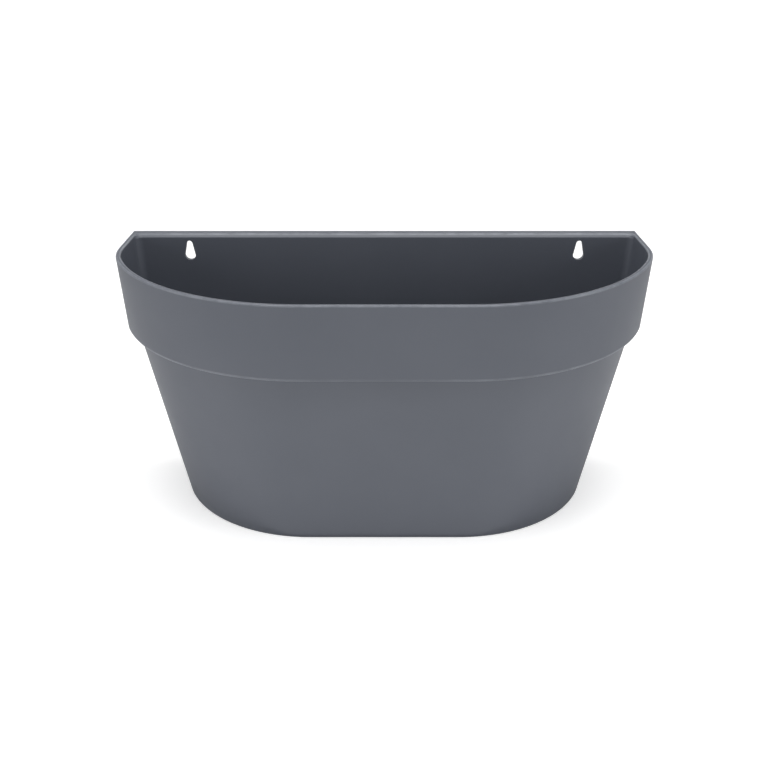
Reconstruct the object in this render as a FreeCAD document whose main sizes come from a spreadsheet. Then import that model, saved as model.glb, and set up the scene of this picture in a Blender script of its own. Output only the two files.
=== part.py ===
import FreeCAD, Part
import math
import os

import Sketcher
from FreeCAD import Placement, Rotation, Vector

# Half-round planter that hangs flat against a wall. One moulded shell, a perforated reservoir
# floor that lifts out of it, and two plugs that close the drain holes in its base.
# Modelled with the wall at y = 0, the pot towards -Y and the base at z = 0; every piece is then
# placed half the rim's depth forward, so that the part's origin is the middle of its base.

# ---------------------------------------------------------------- driving sizes (mm)
SIZES = {
    # outline of the rim, seen from above; the front arc turns by arc_turn degrees
    "rim_width": 480.0,
    "rim_depth": 200.0,
    "front_arc": 178.5,
    "corner_arc": 90.5,
    "arc_turn": 68.1,
    # heights, and how far the outline has moved inwards at each level
    "height": 245.0,
    "band_height": 68.2,
    "band_taper": 5.0,
    "shoulder_step": 8.1,
    "body_taper": 36.1,
    # walls
    "wall": 3.2,
    "rim_wall": 4.5,
    "back_wall": 4.5,
    "floor_wall": 3.5,
    "foot_height": 7.0,
    "foot_ring": 4.5,
    # recess behind the back panel, inside the frame that lies on the wall; the outside is
    # made back_spare deeper than the wall plane and then cut flat
    "back_recess": 6.0,
    "back_frame": 5.0,
    "back_spare": 2.0,
    # bevel along the inside of the back rim
    "back_bevel": 3.2,
    "back_bevel_round": 1.0,
    # roundings
    "rim_outer_round": 1.2,
    "rim_inner_round": 1.3,
    "band_edge_round": 2.5,
    "crease_round": 2.5,
    "base_round": 1.5,
    "inner_corner_round": 7.0,
    "floor_round": 5.0,
    # keyholes that hang on two wall screws
    "screw_spacing": 367.0,
    "screw_drop": 9.2,
    "keyhole_fall": 11.2,
    "screw_slot": 5.5,
    "head_hole": 10.0,
    # drain holes and their plugs
    "drain_spacing": 120.0,
    "drain_hole": 16.0,
    "plug_clearance": 0.05,
    "plug_flange": 26.0,
    "plug_flange_depth": 2.4,
    "plug_wall": 2.0,
    "plug_above_floor": 1.5,
    "plug_grip_length": 17.0,
    "plug_grip_width": 3.2,
    "plug_grip_depth": 2.4,
    "plug_round": 0.8,
    # reservoir floor with two soil wells
    "water_depth": 42.0,
    "tray_thickness": 2.6,
    "tray_lip": 6.0,
    "tray_lip_wall": 2.2,
    "tray_clearance": 1.5,
    "well_spacing": 216.0,
    "well_top": 62.0,
    "well_bottom": 50.0,
    "well_wall": 2.4,
    "well_slot_width": 3.0,
    "well_slot_margin": 7.0,
    "well_drain": 8.0,
    "seep_hole": 4.0,
    "seep_pitch": 15.0,
}

# how far a cut runs past the face that it goes through
OVERRUN = 1.0
SEEP_COLUMNS = 7
SEEP_ROWS = 6
WELL_SLOT_CUTS = 4

doc = FreeCAD.newDocument("wall_planter")
sheet = doc.addObject("Spreadsheet::Sheet", "Sizes")


class Size:
    """A length together with the sheet formula that it comes from."""

    def __init__(self, value, formula):
        self.value = value
        self.formula = formula

    @staticmethod
    def of(other):
        return other if isinstance(other, Size) else Size(float(other), repr(float(other)))

    def __add__(self, other):
        other = Size.of(other)
        return Size(self.value + other.value, f"({self.formula} + {other.formula})")

    def __sub__(self, other):
        other = Size.of(other)
        return Size(self.value - other.value, f"({self.formula} - {other.formula})")

    def __mul__(self, other):
        other = Size.of(other)
        return Size(self.value * other.value, f"({self.formula} * {other.formula})")

    def __truediv__(self, other):
        other = Size.of(other)
        return Size(self.value / other.value, f"({self.formula} / {other.formula})")

    def __neg__(self):
        return Size(-self.value, f"(-{self.formula})")

    def sine(self):
        """Sine of an angle in degrees."""
        return Size(math.sin(math.radians(self.value)), f"sin({self.formula})")


def fill_sheet():
    for row, (name, value) in enumerate(SIZES.items(), start=1):
        sheet.set(f"A{row}", name)
        sheet.set(f"B{row}", str(value))
        sheet.setAlias(f"B{row}", name)
    doc.recompute()


def cell(name):
    """The driving size of this name."""
    return Size(SIZES[name], f"Sizes.{name}")


fill_sheet()
ZERO = Size(0.0, "0.0")
RIM_WIDTH, RIM_DEPTH, HEIGHT = cell("rim_width"), cell("rim_depth"), cell("height")
CORNER_REACH = cell("corner_arc") + (cell("front_arc") - cell("corner_arc")) * cell("arc_turn").sine()
FRONT_FLAT = RIM_WIDTH - CORNER_REACH * 2
BAND_BOTTOM = HEIGHT - cell("band_height")
SHOULDER_INSET = cell("band_taper") + cell("shoulder_step")
BASE_INSET = SHOULDER_INSET + cell("body_taper")
BEHIND_WALL = -cell("back_spare")
BACK_INSIDE = cell("back_recess") + cell("back_wall")
FLOOR_TOP = cell("foot_height") + cell("floor_wall")
TRAY_TOP = FLOOR_TOP + cell("water_depth")
TRAY_BOTTOM = TRAY_TOP - cell("tray_thickness")
SCREW_HEIGHT = HEIGHT - cell("screw_drop")


def band_inset(level):
    """How far the outside of the band lies inside the rim's outline at a level."""
    return cell("band_taper") * (HEIGHT - level) / cell("band_height")


def body_inset(level):
    """The same for the tapered body below the band."""
    return BASE_INSET - cell("body_taper") * level / BAND_BOTTOM


# ---------------------------------------------------------------- helpers
def new_body(label):
    body = doc.addObject("PartDesign::Body", label)
    body.Label = label
    return body


def bind(thing, path, size):
    thing.setExpression(path, size.formula)


def origin_plane(body, role):
    return next(f for f in body.Origin.OriginFeatures if f.Role == role)


def new_sketch(body, name, plane="XY_Plane", lift=ZERO):
    """A sketch on one of the body's own planes, lifted off it."""
    sketch = body.newObject("Sketcher::SketchObject", name)
    sketch.AttachmentSupport = [(origin_plane(body, plane), "")]
    sketch.MapMode = "FlatFace"
    sketch.AttachmentOffset = Placement(Vector(0, 0, lift.value), Rotation())
    bind(sketch, "AttachmentOffset.Base.z", lift)
    return sketch


def dimension(sketch, name, size, kind, *where):
    """A named dimension of a sketch, bound to its size."""
    index = sketch.addConstraint(Sketcher.Constraint(kind, *where, size.value))
    sketch.renameConstraint(index, name)
    bind(sketch, f"Constraints.{name}", size)


def segment(x0, y0, x1, y1):
    return Part.LineSegment(Vector(x0, y0, 0), Vector(x1, y1, 0))


def arc(centre, radius, start, end):
    circle = Part.Circle(Vector(centre[0], centre[1], 0), Vector(0, 0, 1), radius)
    return Part.ArcOfCircle(circle, math.radians(start), math.radians(end))


def join_tangent(sketch, pieces):
    """Joins each piece's end to the next one's start, smoothly."""
    for first, second in zip(pieces, pieces[1:]):
        sketch.addConstraint(Sketcher.Constraint("Tangent", first, 2, second, 1))


def finish(feature, body):
    body.Tip = feature
    doc.recompute()
    return feature


def outline(body, name, level, inset, back, corner=None):
    """The planter's half-round outline at a level, moved inwards from the rim's by an inset.

    It has a flat front, a wide arc and a tighter arc on each side, and straight sides that
    meet a back line which lies a distance in front of the wall, or behind it if that is
    negative. The back corners are sharp unless a corner radius is given.
    """
    sketch = new_sketch(body, name, lift=level)
    half = RIM_WIDTH / 2 - inset
    depth = RIM_DEPTH - inset
    wide, tight = cell("front_arc") - inset, cell("corner_arc") - inset
    turn = SIZES["arc_turn"]
    x_flat, x_side = FRONT_FLAT.value / 2, half.value
    y_wide = wide.value - depth.value
    drop = math.cos(math.radians(turn)) * (wide.value - tight.value)
    y_tight = y_wide - drop
    y_back = -back.value
    r_back = corner.value if corner else 0.0
    meet = turn - 90
    loop = [
        segment(-x_flat, -depth.value, x_flat, -depth.value),
        arc((x_flat, y_wide), wide.value, -90, meet),
        arc((x_side - tight.value, y_tight), tight.value, meet, 0),
        segment(x_side, y_tight, x_side, y_back - r_back),
        segment(x_side - r_back, y_back, r_back - x_side, y_back),
        segment(-x_side, y_back - r_back, -x_side, y_tight),
        arc((tight.value - x_side, y_tight), tight.value, 180, 180 - meet),
        arc((-x_flat, y_wide), wide.value, 180 - meet, 270),
    ]
    if corner:
        loop.append(arc((x_side - r_back, y_back - r_back), r_back, 0, 90))
        loop.append(arc((r_back - x_side, y_back - r_back), r_back, 90, 180))
    sketch.addGeometry(loop, False)
    front, wide_right, tight_right, right, rear, left, tight_left, wide_left = range(8)
    join_tangent(sketch, [left, tight_left, wide_left, front, wide_right, tight_right, right])
    if corner:
        join_tangent(sketch, [right, 8, rear, 9, left])
        sketch.addConstraint(Sketcher.Constraint("Equal", 8, 9))
        dimension(sketch, "corner", corner, "Radius", 8)
    else:
        sketch.addConstraint(Sketcher.Constraint("Coincident", right, 2, rear, 1))
        sketch.addConstraint(Sketcher.Constraint("Coincident", rear, 2, left, 1))
    sketch.addConstraint([
        Sketcher.Constraint("Vertical", right),
        Sketcher.Constraint("Vertical", left),
        Sketcher.Constraint("Symmetric", front, 1, front, 2, -2),
        Sketcher.Constraint("Symmetric", rear, 1, rear, 2, -2),
        Sketcher.Constraint("Equal", wide_right, wide_left),
        Sketcher.Constraint("Equal", tight_right, tight_left),
    ])
    dimension(sketch, "flat", FRONT_FLAT, "DistanceX", front, 1, front, 2)
    dimension(sketch, "wide", wide, "Radius", wide_right)
    dimension(sketch, "tight", tight, "Radius", tight_right)
    dimension(sketch, "half", half, "DistanceX", -1, 1, right, 1)
    dimension(sketch, "depth", depth, "DistanceY", front, 1, -1, 1)
    if back.value < 0:
        dimension(sketch, "back", -back, "DistanceY", -1, 1, rear, 1)
    else:
        dimension(sketch, "back", back, "DistanceY", rear, 1, -1, 1)
    return sketch


def rectangle(sketch, x0, x1, y0, y1):
    """An upright rectangle between two corners."""
    xs, ys = (x0.value, x1.value), (y0.value, y1.value)
    sketch.addGeometry([
        segment(xs[0], ys[0], xs[1], ys[0]),
        segment(xs[1], ys[0], xs[1], ys[1]),
        segment(xs[1], ys[1], xs[0], ys[1]),
        segment(xs[0], ys[1], xs[0], ys[0]),
    ], False)
    for i in range(4):
        sketch.addConstraint(Sketcher.Constraint("Coincident", i, 2, (i + 1) % 4, 1))
        sketch.addConstraint(Sketcher.Constraint("Vertical" if i % 2 else "Horizontal", i))
    dimension(sketch, "x0", x0, "DistanceX", -1, 1, 0, 1)
    dimension(sketch, "y0", y0, "DistanceY", -1, 1, 0, 1)
    dimension(sketch, "x1", x1, "DistanceX", -1, 1, 1, 2)
    dimension(sketch, "y1", y1, "DistanceY", -1, 1, 1, 2)


def loft(body, name, kind, lower, upper):
    """A straight-sided loft between two outlines; kind is Additive or Subtractive."""
    feature = body.newObject(f"PartDesign::{kind}Loft", name)
    feature.Profile = lower
    feature.Sections = [upper]
    feature.Ruled = True
    return finish(feature, body)


def pad(body, name, sketch, length, reverse=False):
    feature = body.newObject("PartDesign::Pad", name)
    feature.Profile = sketch
    feature.Length = length.value
    bind(feature, "Length", length)
    feature.Reversed = reverse
    return finish(feature, body)


def pocket(body, name, sketch, depth, reverse=False):
    """Cuts a sketch to a depth, and makes sure that it has taken material away."""
    before = body.Shape.Volume
    feature = body.newObject("PartDesign::Pocket", name)
    feature.Profile = sketch
    feature.Length = depth.value
    bind(feature, "Length", depth)
    feature.Reversed = reverse
    finish(feature, body)
    if not body.Shape.Volume < before - 1:
        raise RuntimeError(f"{name} cuts nothing")
    return feature


def fillet(body, name, base, radius, wanted):
    """Rounds the edges of a feature that a test picks out."""
    edges = [f"Edge{i}" for i, edge in enumerate(base.Shape.Edges, start=1) if wanted(edge)]
    if not edges:
        raise RuntimeError(f"{name} finds no edge")
    feature = body.newObject("PartDesign::Fillet", name)
    feature.Base = (base, edges)
    feature.Radius = radius.value
    bind(feature, "Radius", radius)
    return finish(feature, body)


def lies_at(edge, level):
    """Whether an edge lies flat at a level."""
    box = edge.BoundBox
    return abs(box.ZMin - level.value) < 0.01 and abs(box.ZMax - level.value) < 0.01


def middle(edge):
    first, last = edge.ParameterRange
    return edge.valueAt((first + last) / 2)


def off_wall(edge, distance=0.5):
    return middle(edge).y < -distance


# ---------------------------------------------------------------- planter shell
def shell_outside(body):
    """The tapered band under the rim, the narrower body below it and their outer roundings."""
    loft(
        body, "Band", "Additive",
        outline(body, "BandFoot", BAND_BOTTOM, cell("band_taper"), BEHIND_WALL),
        outline(body, "RimOutline", HEIGHT, ZERO, BEHIND_WALL),
    )
    solid = loft(
        body, "TaperedBody", "Additive",
        outline(body, "BaseOutline", ZERO, BASE_INSET, BEHIND_WALL),
        outline(body, "ShoulderOutline", BAND_BOTTOM, SHOULDER_INSET, BEHIND_WALL),
    )
    shoulder_width = (RIM_WIDTH / 2 - SHOULDER_INSET).value
    shoulder_depth = (RIM_DEPTH - SHOULDER_INSET).value

    def within_shoulder(edge):
        box = edge.BoundBox
        return max(abs(box.XMin), abs(box.XMax)) < shoulder_width + 1 and box.YMin > -shoulder_depth - 1

    def band_foot(edge):
        return lies_at(edge, BAND_BOTTOM) and off_wall(edge) and not within_shoulder(edge)

    def crease(edge):
        return lies_at(edge, BAND_BOTTOM) and off_wall(edge) and within_shoulder(edge)

    solid = fillet(body, "BandEdgeRound", solid, cell("band_edge_round"), band_foot)
    solid = fillet(body, "CreaseRound", solid, cell("crease_round"), crease)
    ends = (("BaseRound", "base_round", ZERO), ("RimOuterRound", "rim_outer_round", HEIGHT))
    for name, radius, level in ends:

        def end_edge(edge):
            return lies_at(edge, level) and off_wall(edge)

        solid = fillet(body, name, solid, cell(radius), end_edge)


def flat_back(body):
    """Cuts the outside flat at the wall plane."""
    sketch = new_sketch(body, "WallSideOutline", "XZ_Plane")
    reach = RIM_WIDTH / 2 + OVERRUN
    rectangle(sketch, -reach, reach, ZERO - OVERRUN, HEIGHT + OVERRUN)
    pocket(body, "FlatBack", sketch, cell("back_spare") + OVERRUN)


def shell_inside(body):
    """The hollow: a wide upper part behind the band, a ledge, and the tapered lower part."""
    ledge = BAND_BOTTOM + cell("wall")
    corner = cell("inner_corner_round")
    wall = cell("wall")
    loft(
        body, "BandHollow", "Subtractive",
        outline(body, "LedgeOutline", ledge, band_inset(ledge) + wall, BACK_INSIDE, corner),
        outline(body, "MouthOutline", HEIGHT, cell("rim_wall"), BACK_INSIDE, corner),
    )
    hollow = loft(
        body, "BodyHollow", "Subtractive",
        outline(body, "FloorOutline", FLOOR_TOP, body_inset(FLOOR_TOP) + wall, BACK_INSIDE, corner),
        outline(body, "ThroatOutline", ledge, SHOULDER_INSET + wall, BACK_INSIDE, corner),
    )
    hollow = fillet(body, "FloorRound", hollow, cell("floor_round"), lambda e: lies_at(e, FLOOR_TOP))
    rim = cell("rim_outer_round").value + 0.5
    half, front = RIM_WIDTH.value / 2 - rim, RIM_DEPTH.value - rim

    def mouth(edge):
        point = middle(edge)
        return lies_at(edge, HEIGHT) and abs(point.x) < half and -front < point.y < -rim

    fillet(body, "RimInnerRound", hollow, cell("rim_inner_round"), mouth)


def back_bevel(body):
    """The slope from the top of the back rim down to the inside of the back panel."""
    sketch = new_sketch(body, "BackBevelOutline", "YZ_Plane", lift=cell("rim_wall") - RIM_WIDTH / 2)
    drop = cell("back_bevel") + OVERRUN
    front, top = BACK_INSIDE + OVERRUN, HEIGHT + OVERRUN
    rear = BACK_INSIDE - drop
    low = HEIGHT - drop
    corners = [(-front.value, low.value), (-rear.value, top.value), (-front.value, top.value)]
    sketch.addGeometry([segment(*corners[i], *corners[(i + 1) % 3]) for i in range(3)], False)
    for i in range(3):
        sketch.addConstraint(Sketcher.Constraint("Coincident", i, 2, (i + 1) % 3, 1))
    sketch.addConstraint([
        Sketcher.Constraint("Horizontal", 1),
        Sketcher.Constraint("Vertical", 2),
    ])
    dimension(sketch, "front", front, "DistanceX", 0, 1, -1, 1)
    dimension(sketch, "rear", rear, "DistanceX", 1, 1, -1, 1)
    dimension(sketch, "low", low, "DistanceY", -1, 1, 0, 1)
    dimension(sketch, "top", top, "DistanceY", -1, 1, 1, 1)
    slope = pocket(body, "BackBevel", sketch, RIM_WIDTH - cell("rim_wall") * 2, reverse=True)
    edge_y = (cell("back_bevel") - BACK_INSIDE).value

    def bevel_top(edge):
        return lies_at(edge, HEIGHT) and abs(middle(edge).y - edge_y) < 0.01

    fillet(body, "BackBevelRound", slope, cell("back_bevel_round"), bevel_top)


def back_recess(body):
    """The shallow recess behind the back panel, which leaves a frame that lies on the wall."""
    sketch = new_sketch(body, "BackRecessOutline", "XZ_Plane")
    frame = cell("back_frame")
    top, bottom = HEIGHT - frame, frame
    step = BAND_BOTTOM + frame
    upper = RIM_WIDTH / 2 - band_inset(top) - frame
    band = RIM_WIDTH / 2 - band_inset(step) - frame
    throat = RIM_WIDTH / 2 - SHOULDER_INSET - frame
    lower = RIM_WIDTH / 2 - body_inset(bottom) - frame
    right = [(lower, bottom), (throat, step), (band, step), (upper, top)]
    points = [(x.value, y.value) for x, y in right]
    points += [(-x, y) for x, y in reversed(points)]
    count = len(points)
    sketch.addGeometry([segment(*points[i], *points[(i + 1) % count]) for i in range(count)], False)
    for i in range(count):
        sketch.addConstraint(Sketcher.Constraint("Coincident", i, 2, (i + 1) % count, 1))
    for i, (x, y) in enumerate(right):
        sketch.addConstraint(Sketcher.Constraint("Symmetric", i, 1, count - 2 - i, 2, -2))
        dimension(sketch, f"x{i}", x, "DistanceX", -1, 1, i, 1)
        dimension(sketch, f"y{i}", y, "DistanceY", -1, 1, i, 1)
    pocket(body, "BackRecess", sketch, cell("back_recess"), reverse=True)


def teardrop(sketch, first, centre):
    """One keyhole: a screw slot on top that widens along two tangents to the head hole."""
    slot, head = cell("screw_slot") / 2, cell("head_hole") / 2
    fall = cell("keyhole_fall")
    x, z = centre.value, SCREW_HEIGHT.value
    lean = math.degrees(math.asin((head.value - slot.value) / fall.value))

    def rim(cz, radius, angle):
        angle = math.radians(angle)
        return x + radius * math.cos(angle), cz + radius * math.sin(angle)

    low = z - fall.value
    sketch.addGeometry([
        arc((x, z), slot.value, lean, 180 - lean),
        segment(*rim(z, slot.value, 180 - lean), *rim(low, head.value, 180 - lean)),
        arc((x, low), head.value, 180 - lean, 360 + lean),
        segment(*rim(low, head.value, lean), *rim(z, slot.value, lean)),
    ], False)
    top, side, bulb, other = range(first, first + 4)
    join_tangent(sketch, [top, side, bulb, other, top])
    sketch.addConstraint(Sketcher.Constraint("Vertical", top, 3, bulb, 3))
    names = "left" if x < 0 else "right"
    dimension(sketch, f"{names}_slot", slot, "Radius", top)
    dimension(sketch, f"{names}_head", head, "Radius", bulb)
    dimension(sketch, f"{names}_fall", fall, "DistanceY", bulb, 3, top, 3)
    dimension(sketch, f"{names}_x", centre, "DistanceX", -1, 1, top, 3)
    dimension(sketch, f"{names}_z", SCREW_HEIGHT, "DistanceY", -1, 1, top, 3)


def keyholes(body):
    sketch = new_sketch(body, "KeyholeOutlines", "XZ_Plane")
    teardrop(sketch, 0, -cell("screw_spacing") / 2)
    teardrop(sketch, 4, cell("screw_spacing") / 2)
    pocket(body, "Keyholes", sketch, BACK_INSIDE + OVERRUN, reverse=True)


def drain_centre():
    """Middle of the base, from front to back, where the drain holes and wells stand."""
    return (RIM_DEPTH - BASE_INSET + BACK_INSIDE) / 2


def circles(sketch, centres, radius):
    """Circles of one radius; each centre is a pair of sizes."""
    for index, (x, y) in enumerate(centres):
        sketch.addGeometry(Part.Circle(Vector(x.value, y.value, 0), Vector(0, 0, 1), radius.value), False)
        dimension(sketch, f"radius_{index}", radius, "Radius", index)
        dimension(sketch, f"x_{index}", x, "DistanceX", -1, 1, index, 3)
        dimension(sketch, f"y_{index}", y, "DistanceY", -1, 1, index, 3)


def planter_shell():
    body = new_body("planter_shell")
    shell_outside(body)
    flat_back(body)
    shell_inside(body)
    back_bevel(body)
    foot = outline(
        body, "FootRecessOutline", ZERO, BASE_INSET + cell("foot_ring"),
        BACK_INSIDE, cell("inner_corner_round"),
    )
    pocket(body, "FootRecess", foot, cell("foot_height"), reverse=True)
    back_recess(body)
    keyholes(body)
    drains = new_sketch(body, "DrainHoleCircles")
    reach = cell("drain_spacing") / 2
    circles(drains, [(-reach, -drain_centre()), (reach, -drain_centre())], cell("drain_hole") / 2)
    pocket(body, "DrainHoles", drains, FLOOR_TOP + OVERRUN, reverse=True)
    return body


# ---------------------------------------------------------------- drain plugs
def drain_plug(label, side):
    """A soft push-in plug: flange and finger grip below the floor, hollow stem in the hole."""
    body = new_body(label)
    centre = cell("drain_spacing") / 2 * side
    under = cell("foot_height")
    flange = under - cell("plug_flange_depth")
    stem_radius = cell("drain_hole") / 2 - cell("plug_clearance")
    stem_top = FLOOR_TOP + cell("plug_above_floor")

    def disc(name, level, radius):
        sketch = new_sketch(body, name, lift=level)
        circles(sketch, [(centre, -drain_centre())], radius)
        return sketch

    circle = disc("FlangeCircle", flange, cell("plug_flange") / 2)
    solid = pad(body, "Flange", circle, cell("plug_flange_depth"))
    solid = fillet(body, "FlangeRound", solid, cell("plug_round"), lambda e: lies_at(e, flange))
    solid = pad(body, "Stem", disc("StemCircle", under, stem_radius), stem_top - under)
    solid = fillet(body, "StemRound", solid, cell("plug_round"), lambda e: lies_at(e, stem_top))
    bore = stem_radius - cell("plug_wall")
    pocket(body, "StemHollow", disc("HollowCircle", stem_top, bore), stem_top - under)
    grip = new_sketch(body, "GripOutline", lift=flange)
    half_long, half_wide = cell("plug_grip_length") / 2, cell("plug_grip_width") / 2
    x0, x1 = centre - half_long, centre + half_long
    y0, y1 = -drain_centre() - half_wide, -drain_centre() + half_wide
    rectangle(grip, x0, x1, y0, y1)
    pad(body, "Grip", grip, cell("plug_grip_depth"), reverse=True)
    return body


# ---------------------------------------------------------------- reservoir floor
def well_cone(body, name, kind, side, bottom, low_radius, high_radius, height):
    """One tapered round of a soil well; kind is Additive or Subtractive."""
    cone = body.newObject(f"PartDesign::{kind}Cone", name)
    cone.AttachmentSupport = [(origin_plane(body, "XY_Plane"), "")]
    cone.MapMode = "FlatFace"
    bind(cone, "Radius1", low_radius)
    bind(cone, "Radius2", high_radius)
    bind(cone, "Height", height)
    bind(cone, "AttachmentOffset.Base.x", cell("well_spacing") / 2 * side)
    bind(cone, "AttachmentOffset.Base.y", -drain_centre())
    bind(cone, "AttachmentOffset.Base.z", bottom)
    return finish(cone, body)


def tray(body):
    """A flat tray that follows the shell's walls, with a low lip round it."""
    inset = body_inset(TRAY_BOTTOM) + cell("wall") + cell("tray_clearance")
    back = BACK_INSIDE + cell("tray_clearance")
    corner = cell("inner_corner_round")
    lip = cell("tray_lip_wall")
    height = cell("tray_thickness") + cell("tray_lip")
    pad(body, "TrayBlock", outline(body, "TrayOutline", TRAY_BOTTOM, inset, back, corner), height)
    inner = outline(body, "TrayInside", TRAY_TOP, inset + lip, back + lip, corner - lip)
    pocket(body, "TrayHollow", inner, cell("tray_lip"), reverse=True)


def soil_wells(body):
    """Two tapered cups that stand on the floor and carry soil down into the water."""
    wall = cell("well_wall")
    low, high = cell("well_bottom") / 2, cell("well_top") / 2
    for side, word in ((-1, "Left"), (1, "Right")):
        well_cone(body, f"{word}Well", "Additive", side, FLOOR_TOP, low, high, TRAY_TOP - FLOOR_TOP)
        well_cone(
            body, f"{word}WellHollow", "Subtractive", side, FLOOR_TOP + wall,
            low - wall, high - wall, TRAY_TOP - FLOOR_TOP - wall,
        )


def well_slots(body):
    """Upright slots round each well, cut right across it, and a drain hole in its bottom."""
    margin = cell("well_slot_margin")
    length, width = cell("well_top") + OVERRUN * 2, cell("well_slot_width")
    for side, word in ((-1, "Left"), (1, "Right")):
        centre = cell("well_spacing") / 2 * side
        for turn in range(WELL_SLOT_CUTS):
            slot = body.newObject("PartDesign::SubtractiveBox", f"{word}Slot{turn}")
            slot.AttachmentSupport = [(origin_plane(body, "XY_Plane"), "")]
            slot.MapMode = "FlatFace"
            angle = 180 / WELL_SLOT_CUTS * (turn + 0.5)
            slot.AttachmentOffset = Placement(Vector(), Rotation(Vector(0, 0, 1), angle))
            along = length / 2
            across = width / 2
            cos, sin = math.cos(math.radians(angle)), math.sin(math.radians(angle))
            bind(slot, "Length", length)
            bind(slot, "Width", width)
            bind(slot, "Height", TRAY_BOTTOM - FLOOR_TOP - margin * 2)
            bind(slot, "AttachmentOffset.Base.x", centre - along * cos + across * sin)
            bind(slot, "AttachmentOffset.Base.y", -drain_centre() - along * sin - across * cos)
            bind(slot, "AttachmentOffset.Base.z", FLOOR_TOP + margin)
            finish(slot, body)
    drains = new_sketch(body, "WellDrainCircles", lift=FLOOR_TOP)
    reach = cell("well_spacing") / 2
    circles(drains, [(-reach, -drain_centre()), (reach, -drain_centre())], cell("well_drain") / 2)
    pocket(body, "WellDrains", drains, cell("well_wall") + OVERRUN, reverse=True)


def seep_holes(body):
    """A field of small holes in the middle of the tray."""
    pitch = cell("seep_pitch")
    first_x = -pitch * ((SEEP_COLUMNS - 1) / 2)
    first_y = -drain_centre() - pitch * ((SEEP_ROWS - 1) / 2)
    sketch = new_sketch(body, "SeepHole", lift=TRAY_BOTTOM)
    circles(sketch, [(first_x, first_y)], cell("seep_hole") / 2)
    hole = pocket(body, "SeepHoleCut", sketch, cell("tray_thickness"), reverse=True)
    field = body.newObject("PartDesign::MultiTransform", "SeepField")
    field.Originals = [hole]
    steps = []
    for word, axis, count in (("Across", "H_Axis", SEEP_COLUMNS), ("Back", "V_Axis", SEEP_ROWS)):
        row = body.newObject("PartDesign::LinearPattern", f"Seep{word}")
        row.Direction = (sketch, [axis])
        row.Occurrences = count
        bind(row, "Length", pitch * (count - 1))
        steps.append(row)
    field.Transformations = steps
    return finish(field, body)


def reservoir_floor():
    body = new_body("reservoir_floor")
    tray(body)
    soil_wells(body)
    well_slots(body)
    seep_holes(body)
    return body


# ---------------------------------------------------------------- build and write
pieces = [
    planter_shell(),
    reservoir_floor(),
    drain_plug("drain_plug_left", -1),
    drain_plug("drain_plug_right", 1),
]
for piece in pieces:
    bind(piece, "Placement.Base.y", RIM_DEPTH / 2)
doc.recompute()

for thing in doc.Objects:
    if "Invalid" in thing.State or "Error" in thing.State:
        raise RuntimeError(f"{thing.Label}: {thing.State}")

os.makedirs("parts", exist_ok=True)
for piece in pieces:
    shape = piece.Shape
    if shape.isNull() or not shape.isValid() or len(shape.Solids) != 1:
        raise RuntimeError(f"{piece.Label} is not one sound solid")
    shape.exportStep(f"parts/{piece.Label}.step")
    box = shape.BoundBox
    print(f"{piece.Label}: {shape.Volume / 1000:.1f} cm3, x {box.XMin:.2f}..{box.XMax:.2f},"
          f" y {box.YMin:.2f}..{box.YMax:.2f}, z {box.ZMin:.2f}..{box.ZMax:.2f}")
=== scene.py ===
# %% [markdown]
# # A half-round wall planter in satin slate plastic
#
# The planter is one moulding: a flat back that lies on the wall, a raised band under the rim, and a
# body that tapers down to a flat base. Inside it stand a perforated floor over a water reserve and
# two drain plugs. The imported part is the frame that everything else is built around, so it is loaded
# first. All its pieces are in metres, with the wall at y = +0.1 and the base at z = 0.

# %% Load the frame
import math

import bmesh
import bpy
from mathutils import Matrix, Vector


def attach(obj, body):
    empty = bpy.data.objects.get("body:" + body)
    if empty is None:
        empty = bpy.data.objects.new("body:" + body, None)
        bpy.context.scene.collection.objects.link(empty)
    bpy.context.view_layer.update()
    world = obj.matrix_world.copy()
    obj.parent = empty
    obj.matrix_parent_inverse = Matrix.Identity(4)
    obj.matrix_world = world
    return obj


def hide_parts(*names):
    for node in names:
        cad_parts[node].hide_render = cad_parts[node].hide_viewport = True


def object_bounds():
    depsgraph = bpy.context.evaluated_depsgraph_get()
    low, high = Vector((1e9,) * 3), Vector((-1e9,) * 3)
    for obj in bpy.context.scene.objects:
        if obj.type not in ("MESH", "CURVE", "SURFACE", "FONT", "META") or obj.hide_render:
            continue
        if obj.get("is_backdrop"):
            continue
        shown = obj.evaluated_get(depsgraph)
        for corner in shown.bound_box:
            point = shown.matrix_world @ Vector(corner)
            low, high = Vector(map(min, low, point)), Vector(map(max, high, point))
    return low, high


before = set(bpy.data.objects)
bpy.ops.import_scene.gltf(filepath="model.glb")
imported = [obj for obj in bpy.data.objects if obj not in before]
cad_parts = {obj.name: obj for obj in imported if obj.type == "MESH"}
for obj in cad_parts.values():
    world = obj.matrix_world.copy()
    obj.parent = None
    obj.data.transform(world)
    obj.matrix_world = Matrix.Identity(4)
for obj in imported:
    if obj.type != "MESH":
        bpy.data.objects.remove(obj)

CAD_BOX = [list(corner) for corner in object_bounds()]
MM = 0.001
WALL_Y = CAD_BOX[1][1]
RIM_Z = CAD_BOX[1][2]

# %% [markdown]
# ## The outline that every level follows
#
# Seen from above, the pot is a flat front, a wide arc and a tighter arc on each side, and a straight
# side that runs back to the wall and leans in by a few degrees. Going down, the same outline only
# moves inwards. An outline drawn by hand at each height would wander, so one function gives the ring
# of points for any inset. The arcs keep their centres, so each ring is an exact offset of the rim,
# and rings with the same count of points join into clean strips of four-sided faces.

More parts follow.
